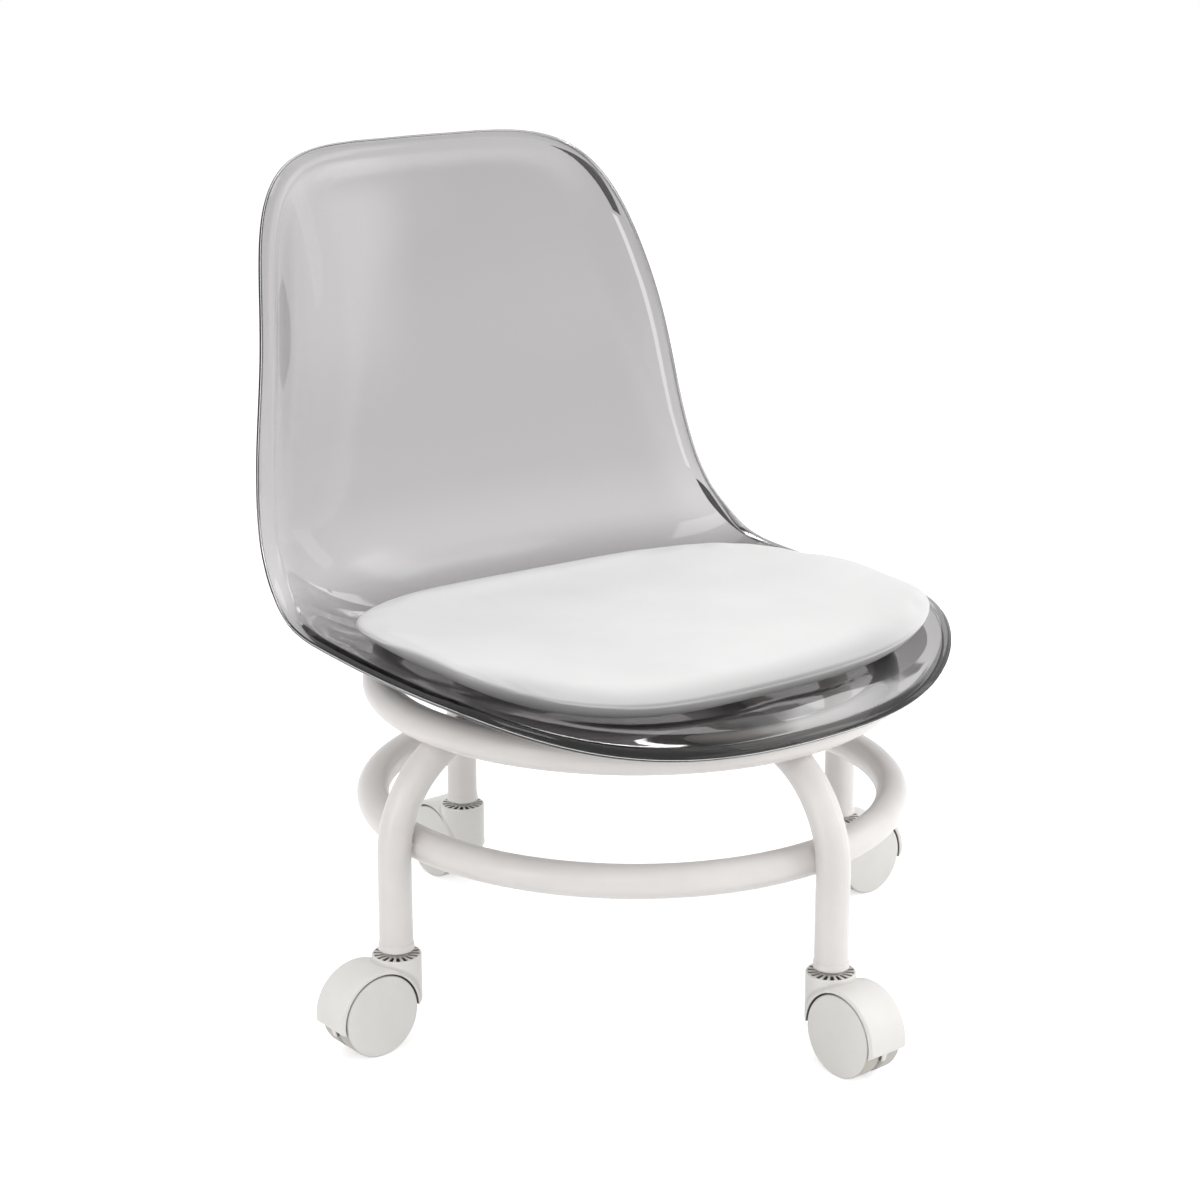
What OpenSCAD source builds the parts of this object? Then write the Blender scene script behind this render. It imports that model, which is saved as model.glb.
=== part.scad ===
// Low rolling stool: a clear moulded bucket seat with a thin pad, on a tube frame of two
// crossed arches and two rings, with a twin-wheel caster under each of the four legs.
// The stool faces -Y, +Z is up, and the origin is on the floor under the seat's centre.
// Left and right are the sitter's, so the left is at +X.

/* [Seat shell] */
// Width of the seat between the crests of its rolled edges
seat_w = 349; // [330:1:370]
// Wall of the moulding
shell_wall = 4; // [3:0.5:5]
// How far the front crest stands out past the top ring's centre line
crest_reach = 4.3; // [4:0.1:12]
// Radius of the rolled edge, to its outer skin
roll_r = 13; // [10:0.5:16]
// Turn of the rolled edge round the seat
seat_roll_turn = 72; // [50:1:80]
// Turn of the rolled edge round the back
back_roll_turn = 65; // [50:1:80]
// Highest lift of the shell's sides over its centre line
wing_lift = 38; // [20:1:46]

/* [Seat profile] */
// Length of the pan, from the front crest to the heel
pan_len = 235; // [220:1:250]
// Fall of the pan at its front, in degrees
front_fall = 4; // [0:0.5:6]
// Turn of the pan over its length, in degrees
pan_turn = 6; // [3:0.5:8]
// Length of the bend between the pan and the back
heel_len = 70; // [60:1:90]
// Turn of that bend, in degrees
heel_turn = 51; // [45:1:56]
// Length of the softer bend on each side of the heel
ease_len = 26; // [15:1:35]
// Turn of each softer bend, in degrees
ease_turn = 8; // [4:0.5:12]
// Length of the back, from the heel to its top crest
back_len = 228; // [190:1:260]
// Turn of the back over its length, in degrees
back_turn = 17.5; // [8:0.5:22]
// Length over which the front of the seat rounds off
front_round = 110; // [90:1:130]
// Length over which the top of the back rounds off
top_round = 132; // [90:1:150]

/* [Seat pad] */
// Width of the pad
pad_w = 337; // [300:1:340]
// Distance from the seat's front crest to the pad
pad_inset = 14.5; // [8:0.5:24]
// Length of the pad along the seat
pad_len = 285; // [250:1:295]
// Height of the pad near its edge
pad_edge_h = 12.5; // [11:0.5:20]
// Extra height of the pad's crown
pad_crown = 7; // [4:0.5:12]
// Diameter of the board inside the pad
board_d = 144; // [136:1:170]
// Thickness of that board
board_t = 5; // [4:0.5:7]

/* [Frame] */
// Outer diameter of the frame's tubes
tube_d = 20; // [18:0.5:22]
// Wall of the frame's tubes
tube_wall = 1.5; // [1.2:0.1:2]
// Distance of each leg from the stool's axis
leg_reach = 180.5; // [170:0.5:195]
// Straight length of each leg, up to its bend
leg_straight = 56.2; // [45:0.1:70]
// Bend radius of the legs, at the tube's centre
bend_r = 68; // [55:0.5:80]
// Distance of the top ring's tube in from the legs, centre to centre
ring_in = 24.3; // [18:0.1:32]
// Height of the lower ring above the legs' ends
low_ring_h = 59.6; // [30:0.2:61]
// Depth to which a ring is let into a leg for its weld
weld_seat = 0.8; // [0.3:0.1:1]
// Side of the square seat plate
plate_w = 110; // [104:1:130]
// Thickness of the seat plate
plate_t = 3; // [2:0.5:4]
// Distance between neighbouring screws of the seat
screw_pitch = 84; // [70:1:88]
// Thread diameter of the seat's screws
screw_d = 6; // [5:0.5:6]
// Thickness of the rubber washers under the shell
pad_washer_t = 2.3; // [1.5:0.1:4]

/* [Casters] */
// Diameter of the wheels
wheel_d = 50; // [44:0.5:60]
// Width over the two wheels of a caster
caster_w = 28.5; // [26:0.5:34]
// Distance from the swivel axis back to the axle
trail = 19.8; // [17:0.2:23]
// Height of the neck's top above the axle
neck_rise = 30.7; // [30:0.1:40]
// Diameter of the neck
neck_d = 29.5; // [28:0.5:32]
// Wall of the hood over the wheels
hood_wall = 2.2; // [1.6:0.1:2.6]
// Thickness of the web between the wheels
web_t = 3.5; // [3:0.1:5]
// Diameter of the axle
axle_d = 6; // [5:0.5:7]
// Diameter of the stem
stem_d = 8; // [7:0.5:9]
// Length of the stem above its collar
stem_len = 34; // [28:1:40]
// Ribs round the top of the neck
rib_count = 18; // [12:1:20]

/* [Hidden] */
$fn = 72;
SIDES = ["front", "left", "back", "right"];
LEG_TURNS = [-90, 0, 90, 180];

// Colours
clear_grey = [0.62, 0.62, 0.63, 0.55];
pad_white = [0.93, 0.93, 0.93];
frame_white = [0.93, 0.92, 0.91];
nylon_white = [0.9, 0.89, 0.87];
steel = [0.72, 0.72, 0.74];
rubber = [0.2, 0.2, 0.2];
board_tan = [0.75, 0.62, 0.45];

// Clearances: a running fit, a fixed fit, and loose pieces that lie on each other
run_gap = 0.05;
fix_gap = 0.02;
lay_gap = 0.3;
// Overrun of a cut past the face that it starts from
cut = 1;

// Caster values
axle_r = axle_d / 2;
stem_r = stem_d / 2;
wheel_r = wheel_d / 2;
neck_r = neck_d / 2;
axle_z = wheel_r;
neck_top = axle_z + neck_rise;
wheel_play = 0.8;
wheel_bevel = 1.4;
wheel_skin = 2.2;
wheel_rim = 3;
wheel_dome = 0.6;
hub_wall = 3;
hub_r = axle_r + hub_wall;
hub_bore_end = 2;
hood_inset = 0.35;
hood_lean = 1;
hood_lift = 0.4;
cavity_r = wheel_r + wheel_play;
hood_r = cavity_r + hood_wall;
web_gap = 0.35;
web_drop = 10;
hood_tail_drop = 6.4;
hood_neck_rise = 1.5;
journal_len = 9.6;
rib_depth = 3.5;
rib_rim = 1;
rib_t = 1.1;
neck_core_wall = 3;
neck_core_r = stem_r + neck_core_wall;
collar_over = 2;
collar_r = stem_r + collar_over;
collar_t = 1.2;
collar_z = neck_top + lay_gap;

// Leg end values
tube_r = tube_d / 2;
bore_r = tube_r - tube_wall;
socket_z = collar_z + collar_t;
boss_h = 1.8;
flange_z = socket_z + boss_h;
flange_t = 1.3;
flange_over = 0.7;
ferrule_h = 2.7;
ferrule_lip = 0.25;
leg_z = flange_z + flange_t;
socket_top = leg_z + stem_len;
stem_end_gap = 1;
grip_h = 2;
grip_depth = 0.7;
grip_from_top = 10;
grip_z = socket_top - grip_from_top;
grip_slit = 2;

// Frame values
bend_z = leg_z + leg_straight;
run_z = bend_z + bend_r;
bend_x = leg_reach - bend_r;
ring_r = leg_reach - ring_in;
ring_z = bend_z + sqrt(pow(bend_r + tube_d - weld_seat, 2) - pow(ring_r - bend_x, 2));
low_ring_r = leg_reach - tube_d + weld_seat;
low_ring_z = leg_z + low_ring_h;
plate_z = run_z + tube_r;
plate_corner = 12;
screw_r = screw_d / 2;
screw_spread = screw_pitch / 2;
screw_hole_r = screw_r + 0.4;
washer_r = screw_r * 2;
washer_t = 1.2;
head_r = screw_r * 1.75;
head_h = screw_r * 1.2;
hex_r = screw_r * 0.65;
hex_depth = head_h * 0.6;
SCREW_PLACES = [for (sx = [-1, 1], sy = [-1, 1]) [sx * screw_spread, sy * screw_spread]];

// Seat shell values. Shares run from the front crest, 0, to the top crest, 1.
front_reach = ring_r + crest_reach;
shell_rest_z = plate_z + plate_t + pad_washer_t + lay_gap;
ARCS = [[pan_len, pan_turn], [ease_len, ease_turn], [heel_len, heel_turn],
        [ease_len, ease_turn], [back_len, back_turn]];
shell_len = pan_len + 2 * ease_len + heel_len + back_len;
width_shares = [[0, 1], [0.2, 1], [0.41, 0.989], [0.51, 0.969], [0.62, 0.931],
                [0.81, 0.83], [1, 0.706]];
lift_shares = [[0, 0.67], [0.2, 0.64], [0.41, 0.72], [0.51, 0.8], [0.62, 0.71],
               [0.81, 0.97], [1, 0.56]];
roll_blend_shares = [0.41, 0.62];
lift_power = 3.3;
front_power = 2.06;
top_power = 5.6;
spine_margin_share = 0.12;
SPOKES = 128;
RINGS = 12;
ROLL_RINGS = 5;
probe = 0.5;

// Pad values
board_r = board_d / 2;
board_play = 0.5;
pad_front_power = 2.3;
pad_back_power = 3.6;
pad_front_share = 0.3;
pad_back_share = 0.8;
pad_spine_share = 0.3;
PAD_SPOKES = 64;
tee_flange_r = 9;
tee_flange_t = 1.2;
tee_barrel_r = screw_r + 1;
// Rings of the pad, from its underside round its edge to the top: how far out, how high
pad_ring_shares = [[0, 0], [0.45, 0], [0.76, 0], [0.86, 0.13], [0.93, 0.34], [0.975, 0.53],
                   [1, 0.66], [0.996, 0.78], [0.98, 0.89], [0.945, 0.96], [0.88, 1], [0.74, 1],
                   [0.55, 1], [0.3, 1], [0, 1]];

// A value that runs smoothly through the points [share, value] of a table
function slope(tab, i) =
    let (a = max(i - 1, 0), b = min(i + 1, len(tab) - 1))
    (tab[b][1] - tab[a][1]) / (tab[b][0] - tab[a][0]);
function span_of(tab, q, i = 0) =
    i >= len(tab) - 2 || q < tab[i + 1][0] ? i : span_of(tab, q, i + 1);
function along(tab, q) =
    let (s = min(max(q, 0), 1), i = span_of(tab, s), h = tab[i + 1][0] - tab[i][0],
         t = (s - tab[i][0]) / h, t2 = t * t, t3 = t2 * t)
    (2 * t3 - 3 * t2 + 1) * tab[i][1] + (t3 - 2 * t2 + t) * h * slope(tab, i)
    + (3 * t2 - 2 * t3) * tab[i + 1][1] + (t3 - t2) * h * slope(tab, i + 1);
function soft_step(t) = let (s = min(max(t, 0), 1)) s * s * (3 - 2 * s);

// The shell's centre line as a chain of arcs. A place on it is [length, y, z, slope].
function along_arc(from, run, turn_rate) =
    let (a = from[3], b = a + turn_rate * run, k = turn_rate * PI / 180)
    [from[0] + run, from[1] + (sin(b) - sin(a)) / k, from[2] + (cos(a) - cos(b)) / k, b];
function arc_starts(i, from) =
    i == len(ARCS) - 1 ? [from]
    : concat([from], arc_starts(i + 1, along_arc(from, ARCS[i][0], ARCS[i][1] / ARCS[i][0])));
STARTS = arc_starts(0, [0, -front_reach, 0, -front_fall]);
function arc_at(l, i = 0) =
    i == len(ARCS) - 1 || l < STARTS[i + 1][0] ? i : arc_at(l, i + 1);
function centre_line(l) =
    let (i = arc_at(l)) along_arc(STARTS[i], l - STARTS[i][0], ARCS[i][1] / ARCS[i][0]);

// The shell's upper skin at x across and l along, above the front crest's height
function half_w(l) = seat_w / 2 * along(width_shares, l / shell_len);
function lift(x, l) =
    wing_lift * along(lift_shares, l / shell_len) * pow(abs(x) / half_w(l), lift_power);
function skin_from_crest(x, l, over = 0) =
    let (c = centre_line(l), h = lift(x, l) + over) [x, c[1] - h * sin(c[3]), c[2] + h * cos(c[3])];
crest_z = shell_rest_z + shell_wall
          - min([for (sy = [-1, 1]) skin_from_crest(screw_spread, front_reach + sy * screw_spread)[2]]);
function skin(x, l, over = 0) = skin_from_crest(x, l, over) + [0, 0, crest_z];
function unit(v) = v / norm(v);
function skin_normal(x, l) =
    unit(cross(skin(x + probe, l) - skin(x - probe, l), skin(x, l + probe) - skin(x, l - probe)));

// Half the shell's width at l, rounded off at the front and at the top
function round_off(t, power) = pow(max(1 - pow(max(t, 0), power), 0), 1 / power);
function outline_x(l) =
    half_w(l) * round_off(1 - l / front_round, front_power)
    * round_off(1 - (shell_len - l) / top_round, top_power);

// Spokes run from a spine on the centre line out to the outline, bunched at both ends
function spoke_share(j, count) = (1 - cos(360 * min(j, count - j) / count)) / 2;
function rim_place(j) =
    let (l = shell_len * spoke_share(j, SPOKES)) [(j <= SPOKES / 2 ? 1 : -1) * outline_x(l), l];
function spine_l(j) =
    shell_len * (spine_margin_share + (1 - 2 * spine_margin_share) * spoke_share(j, SPOKES));
function sheet_place(k, j) =
    let (f = k / RINGS, r = rim_place(j), s = spine_l(j)) [f * r[0], s + f * (r[1] - s)];
function wrap(j, count) = (j + count) % count;
function out_of_rim(j) =
    let (a = rim_place(wrap(j - 1, SPOKES)), b = rim_place(wrap(j + 1, SPOKES)), c = rim_place(j))
    unit(cross(skin(b[0], b[1]) - skin(a[0], a[1]), skin_normal(c[0], c[1])));
function roll_turn(j) =
    let (q = rim_place(j)[1] / shell_len, a = roll_blend_shares[0], b = roll_blend_shares[1])
    seat_roll_turn + (back_roll_turn - seat_roll_turn) * soft_step((q - a) / (b - a));
// A point of the upper skin and its outward direction, on the sheet or on the rolled edge
function sheet_point(k, j) =
    let (p = sheet_place(k, j)) [skin(p[0], p[1]), skin_normal(p[0], p[1])];
function roll_point(k, j) =
    let (e = sheet_point(RINGS, j), o = out_of_rim(j), a = roll_turn(j) * k / ROLL_RINGS,
         n = e[1] * cos(a) + o * sin(a))
    [e[0] + roll_r * (n - e[1]), n];

function ring_faces(a, b, count) =
    [for (j = [0:count - 1]) let (i = wrap(j + 1, count))
        each [[a[j], b[i], a[i]], [a[j], b[j], b[i]]]];
function spine_index(j, count) = min(j, count - j);

module shell_skin() {
    spine = [for (j = [0:SPOKES / 2]) sheet_point(0, j)];
    rings = [for (k = [1:RINGS + ROLL_RINGS])
        [for (j = [0:SPOKES - 1]) k <= RINGS ? sheet_point(k, j) : roll_point(k - RINGS, j)]];
    samples = concat(spine, [for (r = rings) each r]);
    count = len(samples);
    points = concat([for (s = samples) s[0]], [for (s = samples) s[0] - shell_wall * s[1]]);
    spine_ids = [for (j = [0:SPOKES - 1]) spine_index(j, SPOKES)];
    ids = concat([spine_ids], [for (k = [0:RINGS + ROLL_RINGS - 1])
        [for (j = [0:SPOKES - 1]) len(spine) + k * SPOKES + j]]);
    last = len(ids) - 1;
    top = [for (k = [0:last - 1]) each ring_faces(ids[k], ids[k + 1], SPOKES)];
    under = [for (f = top) [f[0] + count, f[2] + count, f[1] + count]];
    edge = ring_faces(ids[last], [for (i = ids[last]) i + count], SPOKES);
    polyhedron(points, concat(top, under, edge));
}

module at_screws() {
    for (p = SCREW_PLACES) translate([p[0], p[1], 0]) children();
}

module seat_shell() {
    color(clear_grey) difference() {
        shell_skin();
        at_screws() translate([0, 0, plate_z]) cylinder(r = screw_hole_r, h = board_z - plate_z);
    }
}

// The pad lies on the skin, with its edge drawn in above and below
board_z = skin(0, front_reach + board_r)[2] + lay_gap + lift(board_r, front_reach);
board_top = board_z + board_t;
screw_top = board_top + tee_flange_t + screw_r;
function pad_half_w(l) =
    let (s = (l - pad_inset) / pad_len)
    pad_w / 2 * round_off(1 - s / pad_front_share, pad_front_power)
    * round_off(1 - (1 - s) / pad_back_share, pad_back_power);
function pad_rim(j) =
    let (l = pad_inset + pad_len * spoke_share(j, PAD_SPOKES))
    [(j <= PAD_SPOKES / 2 ? 1 : -1) * pad_half_w(l), l];
function pad_point(ring, j) =
    let (f = ring[0], r = pad_rim(j), h = ring[1],
         s = pad_inset + pad_len * (pad_spine_share
             + (1 - 2 * pad_spine_share) * spoke_share(j, PAD_SPOKES)),
         over = lay_gap + h * (pad_edge_h + pad_crown * (1 - f * f)))
    skin(f * r[0], s + f * (r[1] - s), over);

module pad_form() {
    spine_len = PAD_SPOKES / 2 + 1;
    last = len(pad_ring_shares) - 1;
    points = concat(
        [for (j = [0:PAD_SPOKES / 2]) pad_point(pad_ring_shares[0], j)],
        [for (k = [1:last - 1], j = [0:PAD_SPOKES - 1]) pad_point(pad_ring_shares[k], j)],
        [for (j = [0:PAD_SPOKES / 2]) pad_point(pad_ring_shares[last], j)]);
    far = spine_len + (last - 1) * PAD_SPOKES;
    ids = [for (k = [0:last]) [for (j = [0:PAD_SPOKES - 1])
        k == 0 ? spine_index(j, PAD_SPOKES)
        : k == last ? far + spine_index(j, PAD_SPOKES)
        : spine_len + (k - 1) * PAD_SPOKES + j]];
    polyhedron(points, [for (k = [0:last - 1]) each ring_faces(ids[k + 1], ids[k], PAD_SPOKES)]);
}

module seat_cushion() {
    color(pad_white) difference() {
        pad_form();
        translate([0, 0, board_z - pad_edge_h])
            cylinder(r = board_r + board_play, h = pad_edge_h + board_t + board_play);
        at_screws() translate([0, 0, board_z])
            cylinder(r = tee_flange_r + board_play, h = screw_top + board_play - board_z);
    }
}

module cushion_board() {
    color(board_tan) difference() {
        translate([0, 0, board_z]) cylinder(r = board_r, h = board_t);
        at_screws() translate([0, 0, board_z - cut])
            cylinder(r = tee_barrel_r + fix_gap, h = board_t + 2 * cut);
    }
}

module tee_nuts() {
    color(steel) at_screws() difference() {
        union() {
            translate([0, 0, board_top]) cylinder(r = tee_flange_r, h = tee_flange_t);
            translate([0, 0, board_z]) cylinder(r = tee_barrel_r, h = board_t);
        }
        translate([0, 0, board_z - cut])
            cylinder(r = screw_r + fix_gap, h = board_t + tee_flange_t + 2 * cut);
    }
}

// Screws from below, through the plate, the rubber washers and the shell, into the board
head_z = plate_z - washer_t - head_h;
module shell_screws() {
    color(steel) at_screws() difference() {
        union() {
            translate([0, 0, head_z]) cylinder(r = screw_r, h = screw_top - head_z);
            translate([0, 0, head_z]) cylinder(r1 = head_r * 0.8, r2 = head_r, h = head_h / 2);
            translate([0, 0, head_z + head_h / 2]) cylinder(r = head_r, h = head_h / 2);
        }
        translate([0, 0, head_z - cut]) cylinder(r = hex_r, h = hex_depth + cut, $fn = 6);
    }
}

module washers(low, thick, r) {
    at_screws() difference() {
        translate([0, 0, low]) cylinder(r = r, h = thick);
        translate([0, 0, low - cut]) cylinder(r = screw_r + run_gap, h = thick + 2 * cut);
    }
}
module screw_washers() { color(steel) washers(plate_z - washer_t, washer_t, washer_r); }
module rubber_washers() { color(rubber) washers(plate_z + plate_t, pad_washer_t, washer_r); }

module seat_plate() {
    side = plate_w - 2 * plate_corner;
    corner = side / 2;
    color(frame_white) difference() {
        translate([0, 0, plate_z]) linear_extrude(plate_t) union() {
            square([plate_w, side], center = true);
            square([side, plate_w], center = true);
            for (sx = [-1, 1], sy = [-1, 1]) translate([sx * corner, sy * corner])
                circle(r = plate_corner);
        }
        at_screws() translate([0, 0, plate_z - cut])
            cylinder(r = screw_hole_r, h = plate_t + 2 * cut);
    }
}

// One leg, up from its end, over its bend and in to the stool's axis, along +X
module leg_rod(r, over = 0) {
    translate([leg_reach, 0, leg_z - over]) cylinder(r = r, h = leg_straight + over);
    translate([bend_x, 0, bend_z]) rotate([90, 0, 0])
        rotate_extrude(angle = 90) translate([bend_r, 0]) circle(r = r);
    translate([0, 0, run_z]) rotate([0, 90, 0]) cylinder(r = r, h = bend_x);
}

module arch_tube() {
    color(frame_white) difference() {
        for (a = [-90, 90]) rotate(a) leg_rod(tube_r);
        for (a = [-90, 90]) rotate(a) leg_rod(bore_r, cut);
    }
}

// The side legs end against the arch, cut to its round
module side_leg(turn) {
    color(frame_white) rotate(turn) difference() {
        leg_rod(tube_r);
        leg_rod(bore_r, cut);
        translate([0, 0, run_z]) rotate([90, 0, 0])
            cylinder(r = tube_r, h = 2 * bend_x, center = true);
    }
}

module round_tube(r, z) {
    difference() {
        translate([0, 0, z]) rotate_extrude() translate([r, 0]) circle(r = tube_r);
        translate([0, 0, z]) rotate_extrude() translate([r, 0]) circle(r = bore_r);
    }
}
module ring_on_legs(r, z) {
    color(frame_white) difference() {
        round_tube(r, z);
        for (a = LEG_TURNS) rotate(a) leg_rod(tube_r);
    }
}
module top_ring() { ring_on_legs(ring_r, ring_z); }
module lower_ring() { ring_on_legs(low_ring_r, low_ring_z); }

// A caster's own frame: the swivel axis at the origin, the axle out along +X
module at_leg(i) { rotate(LEG_TURNS[i]) translate([leg_reach, 0, 0]) children(); }
module across_axle() { translate([trail, 0, axle_z]) rotate([90, 0, 0]) children(); }

module stem_socket(i) {
    flange_r = tube_r + flange_over;
    color(nylon_white) at_leg(i) difference() {
        union() {
            translate([0, 0, leg_z]) cylinder(r = bore_r - fix_gap, h = stem_len);
            translate([0, 0, flange_z]) cylinder(r = flange_r, h = flange_t);
            translate([0, 0, socket_z]) cylinder(r = collar_r, h = boss_h);
            difference() {
                translate([0, 0, leg_z])
                    cylinder(r1 = flange_r, r2 = tube_r + ferrule_lip, h = ferrule_h);
                translate([0, 0, leg_z]) cylinder(r = tube_r + fix_gap, h = ferrule_h + cut);
            }
        }
        translate([0, 0, socket_z - cut])
            cylinder(r = stem_r + fix_gap, h = socket_top - socket_z + 2 * cut);
        translate([0, 0, grip_z - run_gap])
            cylinder(r = stem_r + grip_depth, h = grip_h + 2 * run_gap);
    }
}

module stem(i) {
    journal_z = collar_z - journal_len;
    tip_h = stem_r / 4;
    tip_z = socket_top - stem_end_gap - tip_h;
    color(steel) at_leg(i) difference() {
        union() {
            translate([0, 0, journal_z]) cylinder(r = stem_r, h = tip_z - journal_z);
            translate([0, 0, tip_z]) cylinder(r1 = stem_r, r2 = stem_r * 0.75, h = tip_h);
            translate([0, 0, collar_z]) cylinder(r = collar_r, h = collar_t);
        }
        difference() {
            translate([0, 0, grip_z - run_gap])
                cylinder(r = stem_r + cut, h = grip_h + 2 * run_gap);
            translate([0, 0, grip_z - cut])
                cylinder(r = stem_r - grip_depth, h = grip_h + 2 * cut);
        }
    }
}

module grip_ring(i) {
    color(steel) at_leg(i) translate([0, 0, grip_z]) difference() {
        cylinder(r = stem_r + grip_depth - fix_gap, h = grip_h);
        translate([0, 0, -cut])
            cylinder(r = stem_r - grip_depth + fix_gap, h = grip_h + 2 * cut);
        translate([0, -grip_slit / 2, -cut]) cube([stem_d, grip_slit, grip_h + 2 * cut]);
    }
}

module hood_outer() {
    hood_w = caster_w - 2 * hood_inset;
    translate([hood_lean, 0, hood_lift]) across_axle() cylinder(r = hood_r, h = hood_w, center = true);
    translate([0, 0, axle_z]) cylinder(r = neck_r, h = neck_rise);
    translate([0, 0, axle_z - neck_r / 2]) cylinder(r = neck_r, h = neck_r / 2);
}
// Everything under a slanting line from the neck's side down to the hood's tail
module hood_cut() {
    reach = 2 * (hood_r + neck_r + trail);
    run = trail + hood_lean + hood_r + neck_r;
    translate([-neck_r, 0, axle_z + hood_neck_rise])
        rotate([0, atan((hood_neck_rise + hood_tail_drop) / run), 0])
        translate([-reach / 2, -reach / 2, -reach]) cube([2 * reach, reach, reach]);
}
module rib_pockets() {
    pitch = 360 / rib_count;
    opening = pitch - 360 * rib_t / (PI * (neck_core_r + neck_r));
    translate([0, 0, neck_top - rib_depth]) for (k = [0:rib_count - 1])
        rotate(k * pitch - opening / 2) rotate_extrude(angle = opening)
            translate([neck_core_r, 0]) square([neck_r - rib_rim - neck_core_r, rib_depth + cut]);
}

module hood(i) {
    color(nylon_white) at_leg(i) difference() {
        union() {
            difference() {
                hood_outer();
                hood_cut();
                for (s = [-1, 1]) across_axle() translate([0, 0, s * (web_t + caster_w) / 2])
                    cylinder(r = cavity_r, h = caster_w, center = true);
            }
            intersection() {
                across_axle() cylinder(r = cavity_r + hood_wall / 2, h = web_t, center = true);
                translate([-trail, -web_t, axle_z - web_drop])
                    cube([4 * trail, 2 * web_t, hood_r + web_drop]);
            }
        }
        across_axle() cylinder(r = axle_r + fix_gap, h = caster_w, center = true);
        translate([0, 0, collar_z - journal_len - run_gap])
            cylinder(r = stem_r + run_gap, h = journal_len + neck_r);
        rib_pockets();
    }
}

hub_end = caster_w / 2 - wheel_skin - hub_bore_end / 2;
module axle(i) {
    half = hub_end - run_gap;
    color(steel) at_leg(i) across_axle() {
        cylinder(r = axle_r, h = 2 * (half - axle_r / 6), center = true);
        for (s = [0, 1]) mirror([0, 0, s]) translate([0, 0, half - axle_r / 6])
            cylinder(r1 = axle_r, r2 = axle_r * 5 / 6, h = axle_r / 6);
    }
}

// A wheel's outline from its hub bore out: it opens inwards and is closed outside
module wheel(i, side) {
    inner = web_t / 2 + web_gap;
    outer = caster_w / 2;
    face = outer - wheel_dome;
    bore = axle_r + run_gap;
    color(nylon_white) at_leg(i) across_axle() mirror([0, 0, side]) rotate_extrude() polygon([
        [0, hub_end], [bore, hub_end], [bore, inner], [hub_r, inner],
        [hub_r, face - wheel_skin], [wheel_r - wheel_rim, face - wheel_skin],
        [wheel_r - wheel_rim, inner], [wheel_r - wheel_bevel / 2, inner],
        [wheel_r, inner + wheel_bevel / 2], [wheel_r, face - wheel_bevel],
        [wheel_r - wheel_bevel, face], [wheel_r * 0.6, outer - wheel_dome / 4], [0, outer]]);
}

arch_tube();
side_leg(0);  // side_leg_left
side_leg(180);  // side_leg_right
top_ring();
lower_ring();
seat_plate();
shell_screws();
screw_washers();
rubber_washers();
seat_shell();
tee_nuts();
cushion_board();
seat_cushion();
for (i = [0:len(SIDES) - 1]) {
    stem_socket(i);
    stem(i);
    grip_ring(i);
    hood(i);
    axle(i);
    wheel(i, 0);
    wheel(i, 1);
}
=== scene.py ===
# The rolling stool's looks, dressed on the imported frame: clear smoked shell, padded seat, painted
# tube frame, nylon casters.
import math
import bpy
import bmesh
from mathutils import Matrix, Vector


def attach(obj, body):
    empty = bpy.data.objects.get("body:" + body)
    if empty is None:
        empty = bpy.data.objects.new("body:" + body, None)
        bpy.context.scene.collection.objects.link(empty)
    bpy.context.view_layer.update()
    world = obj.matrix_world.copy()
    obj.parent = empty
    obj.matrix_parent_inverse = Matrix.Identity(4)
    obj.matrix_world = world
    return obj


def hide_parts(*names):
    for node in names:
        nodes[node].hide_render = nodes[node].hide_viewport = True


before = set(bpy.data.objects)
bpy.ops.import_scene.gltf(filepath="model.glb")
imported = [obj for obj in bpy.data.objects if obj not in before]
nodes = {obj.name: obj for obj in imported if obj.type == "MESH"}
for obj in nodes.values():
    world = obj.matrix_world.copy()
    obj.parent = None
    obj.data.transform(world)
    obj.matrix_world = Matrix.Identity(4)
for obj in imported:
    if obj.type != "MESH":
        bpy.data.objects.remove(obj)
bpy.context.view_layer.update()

SIDES = ("front", "left", "back", "right")
LEG_TURNS = {"front": -90, "left": 0, "back": 90, "right": 180}

# sizes in millimetres, for all that is modelled here
MM = 0.001
SHELL_LEN, CREST_Y, CREST_Z, FRONT_FALL = 585.0, -160.5, 209.02, -4.0
HALF_W, WING_LIFT, WING_POWER, WING_EASE, WALL, ROLL_R = 174.5, 38.0, 3.3, 0.9, 4.0, 13.0
RIM_EXTRA, RIM_SPARE, LIP_ROUND, LIP_LEAN = 2.8, 1.5, 1.5, math.radians(12)
PAD_START, PAD_LEN, PAD_HALF_W, PAD_EDGE, PAD_CROWN, PAD_FRONT_RAISE = 34.0, 264.5, 167.5, 15.0, 5.4, 3.0
PAD_FULLER, PAD_LIES, PAD_TURN = 4.0, (3.5, -1.5, 0.0), math.radians(-1.5)
PAD_SQUARE = {"left": 3.6, "right": 3.1, "back": 3.9}  # how square the outline's corners are
TRAIL, AXLE_Z, NECK_TOP, NECK_R, HOOD_R, HOOD_W = 19.8, 25.0, 55.7, 14.75, 28.0, 27.8
CAVITY_R, WEB_T, CASTER_W, WHEEL_R, AXLE_HOLE_R, LEG_REACH = 25.8, 3.5, 28.5, 25.0, 3.05, 180.5
TUBE_R, RING_Z, RING_R, LOW_RING_Z, BEND_Z, BEND_R = 10.0, 191.96, 156.2, 119.9, 116.5, 68.0

# the picture's side in its own units, the sensor's width in millimetres, and a distance from the
# camera, in metres, that lies behind the object
FRAME_SIDE, SENSOR, BEHIND = 1200, 36.0, 2.05


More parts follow.
